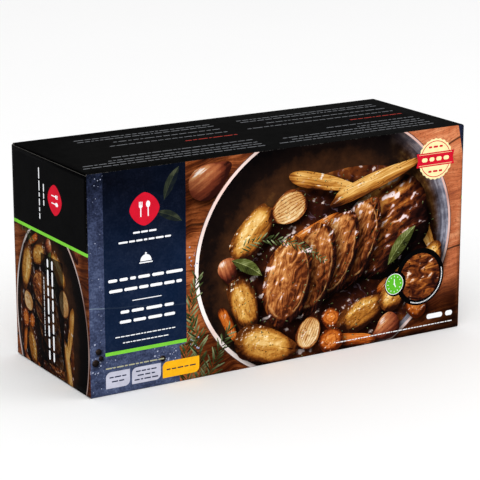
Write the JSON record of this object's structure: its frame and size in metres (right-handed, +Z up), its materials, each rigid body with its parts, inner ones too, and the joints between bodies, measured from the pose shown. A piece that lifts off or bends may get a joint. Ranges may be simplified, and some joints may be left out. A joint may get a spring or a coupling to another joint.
{
  "type": "ready meal carton",
  "caption": "Closed rectangular folding carton for a ready meal, with printed panels, sharp folds and glued end flaps.",
  "frame": {"origin": "middle of the base, on the surface the carton stands on", "axes": "+Z up, +X along the carton's length to the right of its front, -Y out of the front, so +Y runs through its depth to the back"},
  "size_m": [0.26, 0.096, 0.13],
  "materials": {
    "printed_board": "satin varnish over a dark print on folding boxboard, pale board at the cut edges"
  },
  "bodies": {
    "root": {"carton": "printed_board"}
  },
  "joints": []
}
